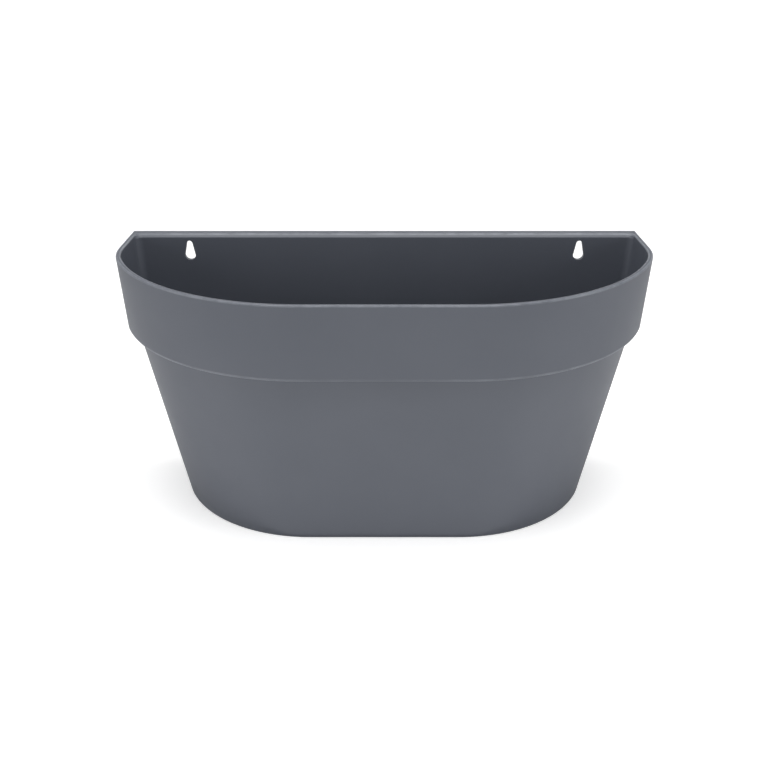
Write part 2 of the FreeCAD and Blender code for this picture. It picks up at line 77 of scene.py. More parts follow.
# %% Outline sizes
RIM_WIDTH = 480.0 * MM
RIM_DEPTH = 200.0 * MM
FRONT_ARC = 178.5 * MM
CORNER_ARC = 90.5 * MM
ARC_TURN = math.radians(68.1)
FRONT_FLAT_HALF = RIM_WIDTH / 2 - CORNER_ARC - (FRONT_ARC - CORNER_ARC) * math.sin(ARC_TURN)
QUARTER_TURN = math.pi / 2
SIDE_LEAN = math.radians(2.5)
STEPS = {"front": 6, "wide": 32, "tight": 20, "side": 5, "corner": 8, "back": 16}
print("flat front:", round(2 * FRONT_FLAT_HALF / MM, 1), "mm long")


# %% Straight and round stretches
def along(start, end, steps):
    """Points from a start towards an end, without the end."""
    return [tuple(a + (b - a) * i / steps for a, b in zip(start, end)) for i in range(steps)]


def round_arc(centre, radius, start, end, steps):
    """Points on an arc from a start angle towards an end angle, without the end."""
    points = []
    for i in range(steps):
        angle = start + (end - start) * i / steps
        points.append((centre[0] + radius * math.cos(angle), centre[1] + radius * math.sin(angle)))
    return points


# %% Ring of points at one inset
def half_round(inset, back, corner):
    """One closed ring, anticlockwise from the middle of the front; y is 0 at the wall."""
    half = RIM_WIDTH / 2 - inset
    front = inset - RIM_DEPTH
    wide = FRONT_ARC - inset
    tight = CORNER_ARC - inset
    wide_y = front + wide
    tight_x = half - tight
    tight_y = wide_y - (wide - tight) * math.cos(ARC_TURN)
    meet = ARC_TURN - QUARTER_TURN
    right = along((0.0, front), (FRONT_FLAT_HALF, front), STEPS["front"])
    right += round_arc((FRONT_FLAT_HALF, wide_y), wide, -QUARTER_TURN, meet, STEPS["wide"])
    right += round_arc((tight_x, tight_y), tight, meet, SIDE_LEAN, STEPS["tight"])
    top = (tight_x + tight * math.cos(SIDE_LEAN), tight_y + tight * math.sin(SIDE_LEAN))
    corner_y = -back - corner
    corner_x = top[0] - (corner_y - top[1]) * math.tan(SIDE_LEAN) - corner / math.cos(SIDE_LEAN)
    leave = (corner_x + corner * math.cos(SIDE_LEAN), corner_y + corner * math.sin(SIDE_LEAN))
    right += along(top, leave, STEPS["side"])
    right += round_arc((corner_x, corner_y), corner, SIDE_LEAN, QUARTER_TURN, STEPS["corner"])
    right += along((corner_x, -back), (0.0, -back), STEPS["back"])
    middle = [(0.0, -back)]
    left = [(-x, y) for x, y in reversed(right[1:])]
    return right + middle + left


def planter_ring(inset, level, back, corner):
    """A half-round ring at a level, in the frame of the part."""
    return [(x, y + WALL_Y, level) for x, y in half_round(inset, back, corner)]


rim_outline = planter_ring(0.0, RIM_Z, 0.0, MM)
rim_length = sum(math.dist(a, b) for a, b in zip(rim_outline, rim_outline[1:] + rim_outline[:1]))
print("rim:", len(rim_outline), "points,", round(rim_length, 3), "m round")

# %% [markdown]
# ## Sections with rounded corners
#
# The wall's section is a line with a few corners, each with the radius that the mould gives it. The
# radii catch the light along the rim and under the band, and they are what makes the pot read as
# moulded plastic. A bevel modifier would round every edge alike, so the section is rounded corner by
# corner before it becomes rings. Each corner also gets a pair of guard rows just beyond its arc, which
# keep the shading of the large faces flat.

# %% Rounding a section
GUARD = 0.4 * MM
ARC_STEPS = 6


def rounded_section(corners):
    """(point, corner number, bend) rows along a line whose corners are ((x, y), radius)."""
    rows = []
    last = len(corners) - 1
    for number, (point, radius) in enumerate(corners):
        here = Vector(point)
        if number in (0, last) or radius == 0.0:
            rows.append((here, number, 0.0))
            continue
        before = (here - Vector(corners[number - 1][0])).normalized()
        after = (Vector(corners[number + 1][0]) - here).normalized()
        turn = before.angle_signed(after)
        reach = radius * math.tan(abs(turn) / 2)
        side = Vector((before.y, -before.x)) * math.copysign(1.0, turn)
        start = here - before * reach
        centre = start + side * radius
        spoke = start - centre
        rows.append((start - before * GUARD, number, 0.0))
        for i in range(ARC_STEPS + 1):
            angle = -turn * i / ARC_STEPS
            cos = math.cos(angle)
            sin = math.sin(angle)
            turned = Vector((spoke.x * cos - spoke.y * sin, spoke.x * sin + spoke.y * cos))
            rows.append((centre + turned, number, 1.0))
        rows.append((here + after * (reach + GUARD), number, 0.0))
    return rows


print("rows round one corner:", ARC_STEPS + 3)

# %% [markdown]
# ## Rings into a closed skin
#
# Every main piece here is a wall that goes once round, so it can be drawn as a stack of rings. A
# Solidify modifier could give it its thickness too, but the wear and the painted highlight would then
# have to be added afterwards. So the rings are joined one by one, the two ends are closed with one face
# each, and a vertex attribute records how much each point is rubbed, together with a painted highlight
# on the rim and the band's edge. Doubles are merged before the normals are worked out, so that they
# all point outwards.

# %% Closed skin
MERGE_DISTANCE = 0.001 * MM


def skin(name, rings, wear_and_highlight=None):
    """A closed mesh object through rings of points; wear_and_highlight takes a ring's number and a point.
    """
    bm = bmesh.new()
    # Each point's wear and painted highlight is kept in a vertex attribute.
    layer = bm.verts.layers.float.new("edge_wear")
    made = []
    for number, ring in enumerate(rings):
        made.append([bm.verts.new(point) for point in ring])
        for vert in made[-1]:
            vert[layer] = wear_and_highlight(number, vert.co) if wear_and_highlight else 0.0
    for lower, upper in zip(made, made[1:]):
        for i in range(len(lower)):
            bm.faces.new((lower[i - 1], lower[i], upper[i], upper[i - 1]))
    bm.faces.new(list(reversed(made[0])))
    bm.faces.new(made[-1])
    bmesh.ops.remove_doubles(bm, verts=bm.verts, dist=MERGE_DISTANCE)
    bmesh.ops.recalc_face_normals(bm, faces=bm.faces)
    mesh = bpy.data.meshes.new(name)
    bm.to_mesh(mesh)
    bm.free()
    piece = bpy.data.objects.new(name, mesh)
    bpy.context.scene.collection.objects.link(piece)
    return piece


# %% Simple closed cutters
ROD_STEPS = 48


def prism(name, outline, low, high):
    """A closed block along y with an outline of (x, z) points."""
    rings = [[(x, y, z) for x, z in outline] for y in (low, high)]
    return skin(name, rings)


def rod(name, centre, radius, low, high):
    """A closed round bar along z."""
    rings = []
    for z in (low, high):
        rings.append([(x, y, z) for x, y in round_arc(centre, radius, 0.0, math.tau, ROD_STEPS)])
    return skin(name, rings)


# %% [markdown]
# ## Cutting and finishing
#
# Holes and recesses are cut with booleans from plain closed cutters, as a mould's cores form them. The
# result is written back as a plain mesh, because the finished pieces carry no live modifiers. Smooth
# shading with area-weighted normals keeps large faces even up to their rounded edges.

# %% Boolean and shading helpers
SHARP_TURN = math.radians(38.0)


def settle(piece):
    """Writes a piece's live modifiers into its mesh."""
    graph = bpy.context.evaluated_depsgraph_get()
    old = piece.data
    piece.data = bpy.data.meshes.new_from_object(piece.evaluated_get(graph))
    piece.modifiers.clear()
    bpy.data.meshes.remove(old)


def combine(piece, others, operation):
    """Cuts others out of a piece, or joins them to it, and removes them."""
    for other in others:
        step = piece.modifiers.new(other.name, "BOOLEAN")
        step.operation = operation
        step.solver = "EXACT"
        step.object = other
    settle(piece)
    for other in others:
        bpy.data.objects.remove(other)
    print(piece.name, "after", operation.lower(), "of", len(others), "-", len(piece.data.polygons), "faces")


def smooth_finish(piece, material):
    """Smooth shading up to the true edges, and one material."""
    mesh = piece.data
    mesh.materials.clear()
    mesh.materials.append(material)
    for polygon in mesh.polygons:
        polygon.use_smooth = True
        polygon.material_index = 0
    mesh.set_sharp_from_angle(angle=SHARP_TURN)
    weighting = piece.modifiers.new("weighted_normals", "WEIGHTED_NORMAL")
    weighting.keep_sharp = True
    settle(piece)
    print(piece.name, len(piece.data.polygons), "faces in", material.name)


# %% [markdown]
# ## Small helpers for node trees
#
# Every finish here, and the tree that places the holes, is built from the same few steps: make a node,
# give its sockets, link it. Written out node by node, a finish would fill a page and hide its idea, so
# these helpers keep one line for each thought. All patterns read Object coordinates, which are metres
# on these pieces, so a noise with 1000 waves per metre has features about a millimetre across.

# %% Nodes and sockets
def plug_in(tree, socket, value):
    """Links a socket to another one, or gives it a plain value."""
    if isinstance(value, bpy.types.NodeSocket):
        tree.links.new(value, socket)
    else:
        socket.default_value = value


def feed(tree, node, **sockets):
    """Gives a node's sockets by their names, with _ for a space."""
    for name, value in sockets.items():
        plug_in(tree, node.inputs[name.replace("_", " ")], value)


def add_node(tree, kind, settings=None, **sockets):
    """A new node with its settings and its sockets given."""
    node = tree.nodes.new(kind)
    for name, value in (settings or {}).items():
        setattr(node, name, value)
    feed(tree, node, **sockets)
    return node


def calculate(tree, operation, *values):
    """The result of a math node on plain values or sockets."""
    node = add_node(tree, "ShaderNodeMath", {"operation": operation})
    for socket, value in zip(node.inputs, values):
        plug_in(tree, socket, value)
    return node.outputs["Value"]


# %% Patterns and colours
def noise(tree, place, per_metre, detail, roughness=0.5):
    """A noise between 0 and 1 that reads a place."""
    node = add_node(
        tree, "ShaderNodeTexNoise", Vector=place, Scale=per_metre, Detail=detail, Roughness=roughness,
    )
    return node.outputs["Fac"]


def spread(tree, value, low, high, start=0.3, end=0.7):
    """Brings the middle of a noise, from start to end, to a range from low to high."""
    node = add_node(
        tree, "ShaderNodeMapRange", Value=value, From_Min=start, From_Max=end, To_Min=low, To_Max=high,
    )
    return node.outputs["Result"]


def two_tone(tree, factor, low, high, dark, pale):
    """A ramp from a dark to a pale colour between two levels of a factor."""
    ramp = add_node(tree, "ShaderNodeValToRGB", Fac=factor)
    dark_end, pale_end = ramp.color_ramp.elements
    dark_end.position = low
    dark_end.color = dark
    pale_end.position = high
    pale_end.color = pale
    return ramp.outputs["Color"]


def blend(tree, factor, plain, other):
    """A colour that goes from a plain one to another as a factor goes from 0 to 1."""
    node = add_node(tree, "ShaderNodeMix", {"data_type": "RGBA"}, Factor=factor)
    plug_in(tree, node.inputs[6], plain)
    plug_in(tree, node.inputs[7], other)
    return node.outputs[2]


def moulded_grain(tree, place, per_metre, detail, strength, depth):
    """The normal of a fine grain in the surface of the mould."""
    height = noise(tree, place, per_metre, detail)
    node = add_node(tree, "ShaderNodeBump", Strength=strength, Distance=depth, Height=height)
    return node.outputs["Normal"]


# %% Empty material
def new_material(name):
    """A node material, its tree, its Principled shader and the Object coordinates."""
    material = bpy.data.materials.new(name)
    material.use_nodes = True
    tree = material.node_tree
    tree.nodes.clear()
    shader = add_node(tree, "ShaderNodeBsdfPrincipled")
    add_node(tree, "ShaderNodeOutputMaterial", Surface=shader.outputs["BSDF"])
    place = add_node(tree, "ShaderNodeTexCoord").outputs["Object"]
    return material, tree, shader, place


# %% [markdown]
# ## The shell's satin plastic
#
# A moulded pot takes its finish from the tool: a fine spark-eroded grain that makes the gloss soft,
# and a colour that is dyed right through. A picture texture would show its tiles on such a plain
# surface, so the grain is noise: a fine one for the bump, a wide one that lets the gloss drift a
# little as real plastic does, and a very slight mottle in the colour. Handling polishes the rim and
# the band's edge, so the wear that the rings carry makes those edges a little paler and glossier; the
# paler colour is also a painted highlight along those edges, strongest towards the round ends.

# %% Satin slate plastic
SLATE = (0.0865, 0.0955, 0.1175, 1.0)
SLATE_PALE = (0.0905, 0.0995, 0.122, 1.0)
# The next colour is the paler edge colour: part real wear, part painted highlight.
SLATE_WORN_AND_HIGHLIT = (0.199, 0.212, 0.241, 1.0)
SATIN_GLOSS = (0.42, 0.5)
WORN_POLISH = -0.08
MOTTLE = {"per_metre": 14.0, "detail": 4.0, "roughness": 0.6}
RUBBING = {"per_metre": 55.0, "detail": 5.0, "roughness": 0.7}
GLOSS_DRIFT = {"per_metre": 9.0, "detail": 3.0}
SATIN_GRAIN = {"per_metre": 1600.0, "detail": 2.0, "strength": 0.05, "depth": 0.2 * MM}


def satin_slate_plastic():
    """Slate grey plastic with a satin grain and rubbed edges, paler with wear and a painted highlight."""
    material, tree, shader, place = new_material("satin_slate_plastic")
    dyed = two_tone(tree, noise(tree, place, **MOTTLE), 0.35, 0.65, SLATE, SLATE_PALE)
    # The rings' mask of wear and painted highlight, made patchy below.
    wear_and_highlight = add_node(tree, "ShaderNodeAttribute", {"attribute_name": "edge_wear"}).outputs["Fac"]
    patchy = spread(tree, noise(tree, place, **RUBBING), 0.25, 1.0, start=0.35)
    worn_and_highlit = calculate(tree, "MULTIPLY", wear_and_highlight, patchy)
    drift = spread(tree, noise(tree, place, **GLOSS_DRIFT), *SATIN_GLOSS)
    feed(
        tree, shader,
        Base_Color=blend(tree, worn_and_highlit, dyed, SLATE_WORN_AND_HIGHLIT),
        Roughness=calculate(tree, "MULTIPLY_ADD", worn_and_highlit, WORN_POLISH, drift),
        Normal=moulded_grain(tree, place, **SATIN_GRAIN),
    )
    print(material.name, "has", len(tree.nodes), "nodes")
    return material


shell_plastic = satin_slate_plastic()

# %% [markdown]
# ## The shell
#
# The real shell is injection moulded in one shot. Its section is followed here from the recess under
# the base, round the foot, up the outside, over the rim and down the inside to the floor, as one line.
# Modelled as separate walls, the pieces would have to be joined again; as one skin it is closed by
# itself. The outside rings run on past the wall and are cut flat there, and the inside rings end at
# the back panel with a rounded corner, so the rim and the foot widen towards the back on their own. No
# two rings share a back line, because faces without area would spoil the cuts that follow.

# %% Heights, tapers and walls
HEIGHT = RIM_Z
BAND_BOTTOM = HEIGHT - 68.2 * MM
BAND_TAPER = 5.0 * MM
SHOULDER_INSET = BAND_TAPER + 8.1 * MM
BASE_INSET = SHOULDER_INSET + 36.1 * MM
WALL = 3.2 * MM
RIM_WALL = 4.5 * MM
LEDGE = BAND_BOTTOM + WALL
LEDGE_FALL = 0.3 * MM
FOOT_HEIGHT = 7.0 * MM
FOOT_RING = 4.5 * MM
FOOT_INSET = BASE_INSET + FOOT_RING
FLOOR_TOP = FOOT_HEIGHT + 3.5 * MM
print("base:", round((RIM_WIDTH - 2 * BASE_INSET) / MM, 1), "mm wide")
print("floor:", round(FLOOR_TOP / MM, 1), "mm up")

# %% The back and its corners
BACK_RECESS = 6.0 * MM
BACK_INSIDE = BACK_RECESS + 4.5 * MM
BACK_BEVEL = 3.2 * MM
BACK_FRAME = 5.0 * MM
BEHIND_WALL = 60.0 * MM
OUTER_CORNER = 2.0 * MM
INNER_CORNER = 7.0 * MM
LIP_SHARE = 0.3

# %% Radii of the section's corners
FOOT_INNER_ROUNDS = (0.3 * MM, 0.4 * MM)
BASE_ROUND = 1.5 * MM
CREASE_ROUND = 2.5 * MM
BAND_EDGE_ROUND = 3.0 * MM
RIM_OUTER_ROUND = 1.2 * MM
RIM_INNER_ROUND = 1.3 * MM
LEDGE_ROUND = 1.2 * MM
LEDGE_EDGE_ROUND = 0.8 * MM
FLOOR_ROUND = 5.0 * MM
BEVEL_ROUND = 1.0 * MM
FLAT_MARGIN = 20.0 * MM


# %% Inset of the walls at a level
def band_inset(level):
    """How far the outside of the band has drawn in."""
    return BAND_TAPER * (HEIGHT - level) / (HEIGHT - BAND_BOTTOM)


def body_inset(level):
    """How far the outside of the body has drawn in."""
    return BASE_INSET - (BASE_INSET - SHOULDER_INSET) * level / BAND_BOTTOM


def body_inside(level):
    """How far the inside of the body has drawn in."""
    return body_inset(level) + WALL


def on_band_inside(level):
    """The point of the band's inner wall at a level."""
    foot = band_inset(LEDGE) + WALL
    return RIM_WALL + (foot - RIM_WALL) * (HEIGHT - level) / (HEIGHT - LEDGE), level


print("body draws in", round((body_inset(0.0) - body_inset(BAND_BOTTOM)) / MM, 1), "mm under the band")

# %% [markdown]
# ## The bevel inside the back rim
#
# Along the wall the rim shows two tones: an upper flat, and a lower strip that faces forward. A strip
# like that is a bevel on the back panel, which fades out in the rounded corners. It could be cut with
# one more boolean, but that would end hard at the corners. So the inside rings follow it instead: each
# ring asks how far the back lies in front of the wall at its own level, and a few more rings are set
# where the bevel turns.

# %% Back of the hollow at a level
BEVEL_LEVELS = [HEIGHT - BACK_BEVEL * share for share in (0.55, 0.7, 0.85, 1.0, 1.15, 1.3)]
bevel_rows = rounded_section([
    ((BACK_INSIDE - 2 * BACK_BEVEL, HEIGHT), 0.0),
    ((BACK_INSIDE - BACK_BEVEL, HEIGHT), BEVEL_ROUND),
    ((BACK_INSIDE, HEIGHT - BACK_BEVEL), BEVEL_ROUND),
    ((BACK_INSIDE, 0.0), 0.0),
])


def back_at(level):
    """How far the inside of the back lies in front of the wall at a level, the rim's included."""
    for (upper, *_), (lower, *_) in zip(bevel_rows, bevel_rows[1:]):
        if lower.y <= level < upper.y:
            return lower.x + (upper.x - lower.x) * (level - lower.y) / (upper.y - lower.y)
    return next(point.x for point, number, _ in bevel_rows if number == 1)


print("back inside:", round(back_at(LEDGE) / MM, 1), "mm from the wall at the ledge")
print("back inside:", round(back_at(HEIGHT) / MM, 1), "mm from the wall at the rim")

# %% Section of the shell, with the wear and painted highlight of each corner
# A wear is a pair: in the middle of the front, and towards the round ends. On the rim and the band's edge
# it is part wear, part painted highlight.
UNWORN = (0.0, 0.0)
BASE_WEAR = (0.5, 0.6)
BAND_WEAR_AND_HIGHLIGHT = (0.1, 0.75)
RIM_WEAR_AND_HIGHLIGHT = (0.8, 1.0)
shell_corners = [
    ((FOOT_INSET + MM, FOOT_HEIGHT), 0.0, "under", UNWORN),
    ((FOOT_INSET, FOOT_HEIGHT), FOOT_INNER_ROUNDS[0], "under", UNWORN),
    ((FOOT_INSET, 0.0), FOOT_INNER_ROUNDS[1], "under", UNWORN),
    ((BASE_INSET, 0.0), BASE_ROUND, "outside", BASE_WEAR),
    ((SHOULDER_INSET, BAND_BOTTOM), CREASE_ROUND, "outside", UNWORN),
    ((BAND_TAPER, BAND_BOTTOM), BAND_EDGE_ROUND, "outside", BAND_WEAR_AND_HIGHLIGHT),
    ((0.0, HEIGHT), RIM_OUTER_ROUND, "outside", RIM_WEAR_AND_HIGHLIGHT),
    ((RIM_WALL, HEIGHT), RIM_INNER_ROUND, "lip", RIM_WEAR_AND_HIGHLIGHT),
]
shell_corners += [(on_band_inside(level), 0.0, "inside", UNWORN) for level in BEVEL_LEVELS]
shell_corners += [
    ((band_inset(LEDGE) + WALL, LEDGE), LEDGE_ROUND, "inside", UNWORN),
    ((SHOULDER_INSET + WALL, LEDGE - LEDGE_FALL), LEDGE_EDGE_ROUND, "inside", UNWORN),
    ((body_inside(FLOOR_TOP), FLOOR_TOP), FLOOR_ROUND, "floor", UNWORN),
    ((BASE_INSET + FLAT_MARGIN, FLOOR_TOP), 0.0, "floor", UNWORN),
]
print("corners in the section:", len(shell_corners))


# %% Shell rings
def back_and_corner(inset, level, side):
    """Where a ring's back line lies in front of the wall, and the radius of its back corners."""
    if side == "outside":
        return inset - BEHIND_WALL, OUTER_CORNER
    if side == "inside":
        return back_at(level), INNER_CORNER
    if side == "lip":
        return back_at(level) + LIP_SHARE * (inset - RIM_WALL), INNER_CORNER
    extra = inset - (FOOT_INSET if side == "under" else body_inside(level))
    return BACK_INSIDE + extra, max(INNER_CORNER - extra, MM)


shell_rings = []
ring_wear_and_highlight = []
for point, number, bend in rounded_section([corner[:2] for corner in shell_corners]):
    side, wear_and_highlight = shell_corners[number][2:]
    shell_rings.append(planter_ring(point.x, point.y, *back_and_corner(point.x, point.y, side)))
    ring_wear_and_highlight.append([share * bend for share in wear_and_highlight])
print("rings:", len(shell_rings), "of", len(shell_rings[0]), "points")

# %% Shell skin
# Distance out from the middle over which the wear and painted highlight rise to the ends' share.
WEAR_AND_HIGHLIGHT_REACH = 160.0 * MM


def edge_wear(number, place):
    """Wear and painted highlight of a point on a ring: more towards an edge's round ends, where side light
    would make a highlight, than in its middle.
    """
    middle, ends = ring_wear_and_highlight[number]
    outward = min(abs(place.x) / WEAR_AND_HIGHLIGHT_REACH, 1.0)
    return middle + (ends - middle) * outward


shell = skin("planter_shell_skin", shell_rings, edge_wear)
print("shell skin:", len(shell.data.polygons), "faces,", [round(size, 4) for size in shell.dimensions], "m")

# %% [markdown]
# ## Recess, keyholes and drains
#
# The back lies on the wall with a narrow frame only, so that the pot sits flat and uses less plastic.
# Two teardrop keyholes hang it on screws: the head passes the wide part, and the narrow part holds the
# shank. A teardrop is two circles and their two outer tangents, so its outline is two arcs and nothing
# else, and the straight flanks follow from joining them.

# %% Sizes of the openings in the shell
SIDES = (("left", -1.0), ("right", 1.0))
SCREW_REACH = 183.5 * MM
SCREW_HEIGHT = HEIGHT - 9.2 * MM
KEYHOLE_FALL = 11.2 * MM
SLOT_RADIUS = 2.75 * MM
HEAD_RADIUS = 5.0 * MM
SLOT_STEPS = 16
HEAD_STEPS = 32
DRAIN_REACH = 60.0 * MM
DRAIN_RADIUS = 8.0 * MM
DRAIN_Y = WALL_Y - (RIM_DEPTH - BASE_INSET + BACK_INSIDE) / 2
OVERRUN = 2.0 * MM
print("screws:", round(2 * SCREW_REACH / MM, 1), "mm apart at z", round(SCREW_HEIGHT, 4))


# %% Outlines of the cutters
def teardrop(x):
    """A keyhole: the slot for the shank above, the hole for the head below."""
    lean = math.asin((HEAD_RADIUS - SLOT_RADIUS) / KEYHOLE_FALL)
    low = SCREW_HEIGHT - KEYHOLE_FALL
    slot = round_arc((x, SCREW_HEIGHT), SLOT_RADIUS, lean, math.pi - lean, SLOT_STEPS)
    head = round_arc((x, low), HEAD_RADIUS, math.pi - lean, math.tau + lean, HEAD_STEPS)
    return slot + head


def recess_outline():
    """The back's outline, one frame width inside its edges."""
    top = HEIGHT - BACK_FRAME
    step = BAND_BOTTOM + BACK_FRAME
    half = RIM_WIDTH / 2 - BACK_FRAME
    right = [
        (half - body_inset(BACK_FRAME), BACK_FRAME),
        (half - SHOULDER_INSET, step),
        (half - band_inset(step), step),
        (half - band_inset(top), top),
    ]
    return right + [(-x, z) for x, z in reversed(right)]


def behind_wall():
    """A block that trims everything behind the wall plane."""
    half = RIM_WIDTH / 2 + OVERRUN
    low = -OVERRUN
    high = HEIGHT + OVERRUN
    outline = [(-half, low), (half, low), (half, high), (-half, high)]
    return prism("behind_wall", outline, WALL_Y, WALL_Y + BEHIND_WALL + OVERRUN)


# %% Cut the shell
combine(shell, [behind_wall()], "DIFFERENCE")
cutters = [prism("back_recess", recess_outline(), WALL_Y - BACK_RECESS, WALL_Y + OVERRUN)]
for word, sign in SIDES:
    outline = teardrop(sign * SCREW_REACH)
    cutters.append(prism(f"keyhole_{word}", outline, WALL_Y - BACK_INSIDE - OVERRUN, WALL_Y + OVERRUN))
for word, sign in SIDES:
    centre = (sign * DRAIN_REACH, DRAIN_Y)
    cutters.append(rod(f"drain_{word}", centre, DRAIN_RADIUS, -OVERRUN, FLOOR_TOP + OVERRUN))
combine(shell, cutters, "DIFFERENCE")
smooth_finish(shell, shell_plastic)
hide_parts("planter_shell")
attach(shell, "shell")

# %% [markdown]
# ## Black plastic and soft rubber
#
# The loose floor is moulded from cheap recycled plastic, so it is black, dull and a little streaky,
# with a coarser grain than the show side of the pot. The plugs are soft rubber, duller still, and they
# pick up pale dust. Both could share one black material, but the gloss is what tells plastic from
# rubber, so each gets its own noise for gloss, colour and bump.

# %% Tray plastic and plug rubber
TRAY_TONES = ((0.012, 0.0125, 0.0135, 1.0), (0.021, 0.0215, 0.023, 1.0))
TRAY_GLOSS = (0.48, 0.6)
TRAY_STRETCH = (1.0, 0.3, 0.3)
TRAY_GRAIN = {"per_metre": 1400.0, "depth": 0.05 * MM}
RUBBER_TONES = ((0.01, 0.01, 0.0105, 1.0), (0.034, 0.033, 0.031, 1.0))
RUBBER_GLOSS = (0.7, 0.85)
RUBBER_STRETCH = (1.0, 1.0, 1.0)
RUBBER_GRAIN = {"per_metre": 2200.0, "depth": 0.03 * MM}
STREAKS = {"per_metre": 60.0, "detail": 6.0, "roughness": 0.65}
DULL_DRIFT = {"per_metre": 25.0, "detail": 4.0}


def dull_black(name, tones, gloss, stretch, grain):
    """A black finish with streaks or dust in its colour, drifting gloss and a moulded grain."""
    material, tree, shader, place = new_material(name)
    pulled = add_node(tree, "ShaderNodeMapping", Vector=place, Scale=stretch).outputs["Vector"]
    feed(
        tree, shader,
        Base_Color=two_tone(tree, noise(tree, pulled, **STREAKS), 0.4, 0.75, *tones),
        Roughness=spread(tree, noise(tree, place, **DULL_DRIFT), *gloss),
        Normal=moulded_grain(tree, place, detail=3.0, strength=0.3, **grain),
    )
    print(name, "has", len(tree.nodes), "nodes")
    return material


tray_plastic = dull_black("black_tray_plastic", TRAY_TONES, TRAY_GLOSS, TRAY_STRETCH, TRAY_GRAIN)
plug_rubber = dull_black("soft_black_rubber", RUBBER_TONES, RUBBER_GLOSS, RUBBER_STRETCH, RUBBER_GRAIN)

# %% [markdown]
# ## The reservoir floor
#
# The floor that keeps the soil out of the water is a flat tray with a low lip, and two cups that reach
# down through the water to the pot's floor. It is built as the real mould is: plate and cups are
# joined, the cups are hollowed, and then every opening is cut at once. Its edges stay tight, since
# nobody sees them in use.

# %% Sizes of the tray and its wells
TRAY_RISE = 42.0 * MM
TRAY_THICKNESS = 2.6 * MM
TRAY_TOP = FLOOR_TOP + TRAY_RISE
TRAY_UNDER = TRAY_TOP - TRAY_THICKNESS
LIP_TOP = TRAY_TOP + 6.0 * MM
LIP_WALL = 2.2 * MM
TRAY_GAP = 1.5 * MM
TRAY_INSET = body_inset(TRAY_UNDER) + WALL + TRAY_GAP
TRAY_BACK = BACK_INSIDE + TRAY_GAP
WELL_REACH = 108.0 * MM
WELL_WALL = 2.4 * MM
WELL_LOW = 25.0 * MM
WELL_HIGH = 31.0 * MM
WELL_DRAIN = 4.0 * MM
CUP_UNDER_TOP = 1.0 * MM
SMALL_ROUND = 0.5 * MM
LATHE_CORE = 1.0 * MM
LATHE_STEPS = 64
HALF_FACET = math.pi / LATHE_STEPS
print("tray:", round(TRAY_TOP / MM, 1), "mm up, wells", round(2 * WELL_REACH / MM), "mm apart")

# %% Tray plate and lip
tray_section = rounded_section([
    ((TRAY_INSET + FLAT_MARGIN, TRAY_UNDER), 0.0),
    ((TRAY_INSET, TRAY_UNDER), SMALL_ROUND),
    ((TRAY_INSET, LIP_TOP), SMALL_ROUND),
    ((TRAY_INSET + LIP_WALL, LIP_TOP), SMALL_ROUND),
    ((TRAY_INSET + LIP_WALL, TRAY_TOP), SMALL_ROUND),
    ((TRAY_INSET + FLAT_MARGIN, TRAY_TOP), 0.0),
])
tray_rings = []
for point, *_ in tray_section:
    extra = point.x - TRAY_INSET
    tray_rings.append(planter_ring(point.x, point.y, TRAY_BACK + extra, max(INNER_CORNER - extra, MM)))
tray = skin("reservoir_floor_skin", tray_rings)
print("tray skin:", [round(size, 4) for size in tray.dimensions], "m")


# %% Turned pieces
def lathe(name, centre, profile, turn=0.0):
    """A closed turned piece from (radius, level) points with corner radii, turned by an angle."""
    rings = []
    for point, *_ in rounded_section(profile):
        circle = round_arc(centre, point.x, turn, turn + math.tau, LATHE_STEPS)
        rings.append([(x, y, point.y) for x, y in circle])
    return skin(name, rings)


# %% Soil wells
cup_profile = [
    ((LATHE_CORE, FLOOR_TOP), 0.0),
    ((WELL_LOW, FLOOR_TOP), SMALL_ROUND),
    ((WELL_HIGH, TRAY_TOP - CUP_UNDER_TOP), 0.0),
    ((LATHE_CORE, TRAY_TOP - CUP_UNDER_TOP), 0.0),
]
hollow_profile = [
    ((LATHE_CORE, FLOOR_TOP - OVERRUN), 0.0),
    ((WELL_DRAIN, FLOOR_TOP - OVERRUN), 0.0),
    ((WELL_DRAIN, FLOOR_TOP + WELL_WALL), 0.0),
    ((WELL_LOW - WELL_WALL, FLOOR_TOP + WELL_WALL), 2 * SMALL_ROUND),
    ((WELL_HIGH - WELL_WALL, TRAY_TOP), 0.0),
    ((WELL_HIGH - WELL_WALL, TRAY_TOP + OVERRUN), 0.0),
    ((LATHE_CORE, TRAY_TOP + OVERRUN), 0.0),
]
cups = []
hollows = []
for word, sign in SIDES:
    centre = (sign * WELL_REACH, DRAIN_Y)
    cups.append(lathe(f"cup_{word}", centre, cup_profile))
    hollows.append(lathe(f"hollow_{word}", centre, hollow_profile, HALF_FACET))
combine(tray, cups, "UNION")
combine(tray, hollows, "DIFFERENCE")

# %% [markdown]
# ## Seep holes and slots by rule
#
# The holes repeat by a simple rule: a grid of round holes between the cups, and a ring of upright
# slots through each cup's wall. Placing them one by one would hide that rule in a list of numbers. A
# node tree states it instead, with the pitch, the counts and the sizes as its inputs, so a coarser
# or finer floor is one changed value.

